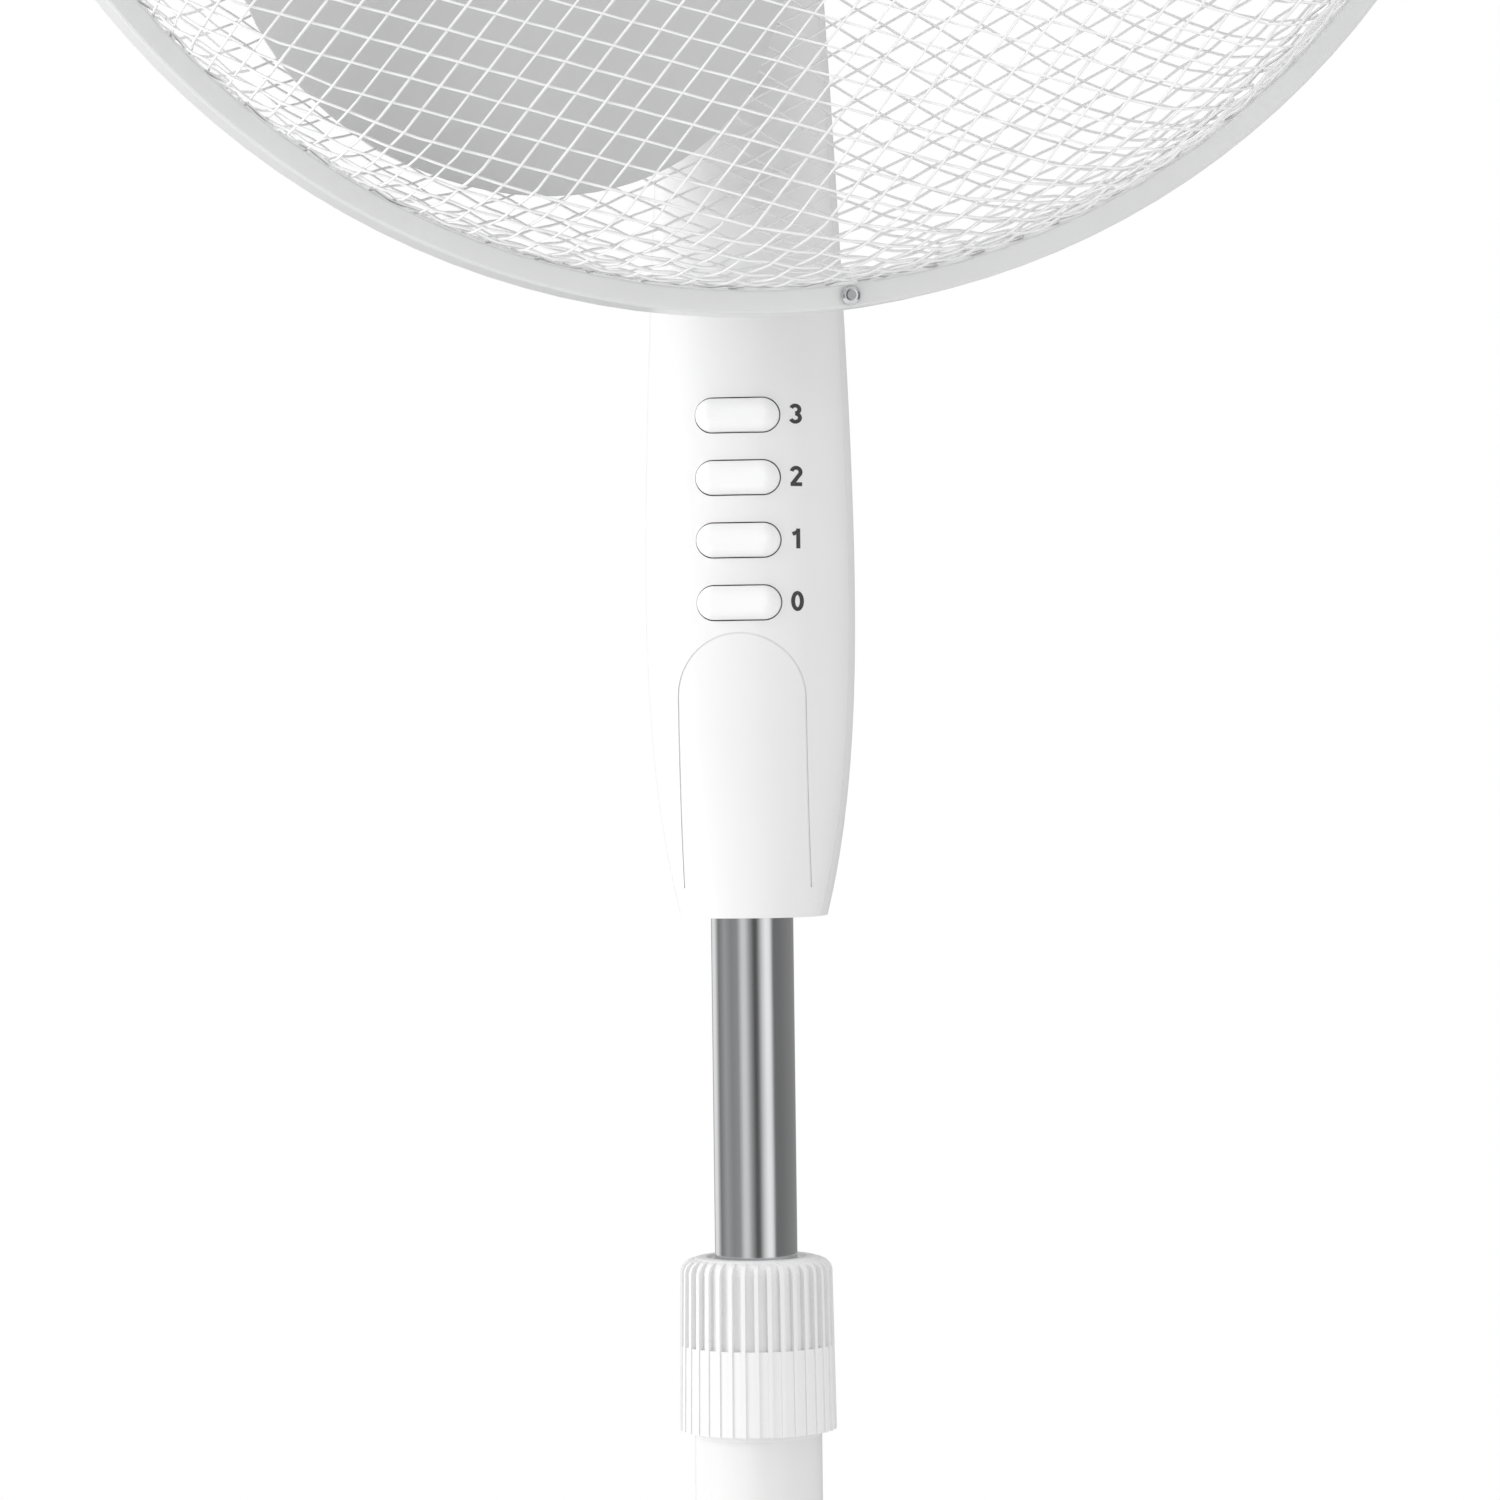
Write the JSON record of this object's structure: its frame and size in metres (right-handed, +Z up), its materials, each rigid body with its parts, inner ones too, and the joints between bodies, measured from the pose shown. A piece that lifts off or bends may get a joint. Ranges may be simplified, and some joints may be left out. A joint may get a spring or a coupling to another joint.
{
  "type": "pedestal fan",
  "caption": "Slim white pedestal fan with a cross base, telescopic pole, fluted lock nut, push-button column and an oscillating, tilting head in a woven wire guard.",
  "frame": {"origin": "on the floor, on the pole's axis", "axes": "+Z up, the column's buttons face -Y, +X to the right as seen from the front; the head rests turned 15 degrees towards +X and nods 3.6 degrees"},
  "size_m": [0.6, 0.6, 1.1643],
  "materials": {
    "white_plastic": "satin moulded ABS",
    "white_enamel": "white powder coat",
    "chrome_plate": "bright chrome plate",
    "rubber": "matt rubber",
    "grey_blade": "satin grey moulded plastic",
    "guard_wire": "white coated wire",
    "zinc_steel": "zinc plated",
    "lamination_steel": "stacked laminations",
    "copper_winding": "enamelled copper wire",
    "sintered_bronze": "oiled sintered bronze",
    "die_cast": "as cast",
    "dark_plastic": "matt",
    "nylon": "natural nylon",
    "rim_plastic": "satin light grey plastic"
  },
  "bodies": {
    "stand": {"base_leg_x": "white_enamel", "base_leg_y": "white_enamel", "leg_end_caps": "white_plastic", "foot_pads": "rubber", "pole_socket": "white_plastic", "base_screws": "zinc_steel", "base_cover": "white_plastic", "lower_tube": "white_enamel", "height_collet": "white_plastic"},
    "lock_nut": {"lock_nut": "white_plastic"},
    "tube_guide": {"tube_guide_bush": "nylon"},
    "upper_column": {"inner_tube": "chrome_plate", "housing_front": "white_plastic", "housing_rear": "white_plastic", "tube_clamp": "nylon", "clamp_screw": "zinc_steel", "housing_screws": "zinc_steel", "cord_gland": "white_plastic", "switch_body": "dark_plastic", "tilt_bracket": "die_cast", "tilt_bolt": "zinc_steel"},
    "button_0": {"button_0": "white_plastic"},
    "button_1": {"button_1": "white_plastic"},
    "button_2": {"button_2": "white_plastic"},
    "button_3": {"button_3": "white_plastic"},
    "tilt_knob": {"tilt_knob": "white_plastic"},
    "neck": {"neck_fork": "white_plastic", "pan_bush": "sintered_bronze"},
    "head": {"pan_pin": "zinc_steel", "motor_bracket": "die_cast", "stator_core": "lamination_steel", "stator_windings": "copper_winding", "front_end_shield": "die_cast", "rear_end_shield": "die_cast", "front_bearing": "sintered_bronze", "rear_bearing": "sintered_bronze", "gearbox_case": "die_cast", "motor_cover_front": "white_plastic", "motor_cover_rear": "white_plastic", "cover_screw": "zinc_steel", "front_guard_mesh": "guard_wire", "rear_guard_mesh": "guard_wire", "front_guard_hoop": "guard_wire", "rear_guard_hoop": "guard_wire", "guard_badge": "white_plastic", "rear_guard_plate": "guard_wire", "guard_nut": "white_plastic", "rim_ring": "rim_plastic", "rim_screw": "chrome_plate"},
    "rotor": {"motor_shaft": "zinc_steel", "rotor_core": "lamination_steel", "worm": "zinc_steel", "fan_blade": "grey_blade", "drive_pin": "zinc_steel", "spinner_nut": "grey_blade"},
    "worm_wheel": {"worm_wheel": "nylon"},
    "crank": {"crank": "nylon"},
    "link_rod": {"link_rod": "zinc_steel"},
    "oscillation_knob": {"clutch_spindle": "zinc_steel", "oscillation_knob": "white_plastic"}
  },
  "joints": [
    {"name": "lock_nut_turn", "type": "hinge", "parent": "stand", "child": "lock_nut", "pos_m": [0, 0, 0.4865], "axis": [0, 0, 1], "range_deg": [0, 180]},
    {"name": "height_slide", "type": "slide", "parent": "stand", "child": "tube_guide", "axis": [0, 0, 1], "range_m": [-0.088, 0.13]},
    {"name": "column_swivel", "type": "hinge", "parent": "tube_guide", "child": "upper_column", "pos_m": [0, 0, 0.3], "axis": [0, 0, 1], "range_deg": [-180, 180]},
    {"name": "button_0_press", "type": "slide", "parent": "upper_column", "child": "button_0", "axis": [0, 1, 0], "range_m": [0, 0.003], "stiffness_N_per_m": 250, "springref_m": -0.001},
    {"name": "button_1_press", "type": "slide", "parent": "upper_column", "child": "button_1", "axis": [0, 1, 0], "range_m": [0, 0.003], "stiffness_N_per_m": 250, "springref_m": -0.001},
    {"name": "button_2_press", "type": "slide", "parent": "upper_column", "child": "button_2", "axis": [0, 1, 0], "range_m": [0, 0.003], "stiffness_N_per_m": 250, "springref_m": -0.001},
    {"name": "button_3_press", "type": "slide", "parent": "upper_column", "child": "button_3", "axis": [0, 1, 0], "range_m": [0, 0.003], "stiffness_N_per_m": 250, "springref_m": -0.001},
    {"name": "head_tilt", "type": "hinge", "parent": "upper_column", "child": "neck", "pos_m": [0, 0, 0.882], "axis": [1, 0, 0], "range_deg": [-22, 2]},
    {"name": "tilt_knob_turn", "type": "hinge", "parent": "upper_column", "child": "tilt_knob", "pos_m": [0.024, 0, 0.882], "axis": [1, 0, 0], "range_deg": [0, 180]},
    {"name": "head_pan", "type": "hinge", "parent": "neck", "child": "head", "pos_m": [0, -0.00515, 0.96384], "axis": [0, -0.0628, 0.998], "range_deg": [-55, 25]},
    {"name": "blade_spin", "type": "hinge", "parent": "head", "child": "rotor", "pos_m": [-0.01082, -0.00804, 0.96366], "axis": [0.2588, -0.964, -0.0607], "continuous": true},
    {"name": "worm_wheel_spin", "type": "hinge", "parent": "head", "child": "worm_wheel", "pos_m": [-0.00534, 0.04095, 0.96674], "axis": [0, -0.0628, 0.998], "continuous": true},
    {"name": "crank_turn", "type": "hinge", "parent": "head", "child": "crank", "pos_m": [-0.00534, 0.04095, 0.96674], "axis": [0, -0.0628, 0.998], "range_deg": [-52, 112]},
    {"name": "link_turn", "type": "hinge", "parent": "crank", "child": "link_rod", "pos_m": [0.00356, 0.04179, 0.93172], "axis": [0, -0.0628, 0.998], "range_deg": [-112, 52]},
    {"name": "oscillation_knob_pull", "type": "slide", "parent": "head", "child": "oscillation_knob", "axis": [0, -0.0628, 0.998], "range_m": [0, 0.008]}
  ],
  "couplings": [
    {"joint": "worm_wheel_spin", "follows": "blade_spin", "ratio": -0.035714},
    {"joint": "crank_turn", "follows": "head_pan", "ratio": -2},
    {"joint": "link_turn", "follows": "head_pan", "ratio": 2}
  ]
}
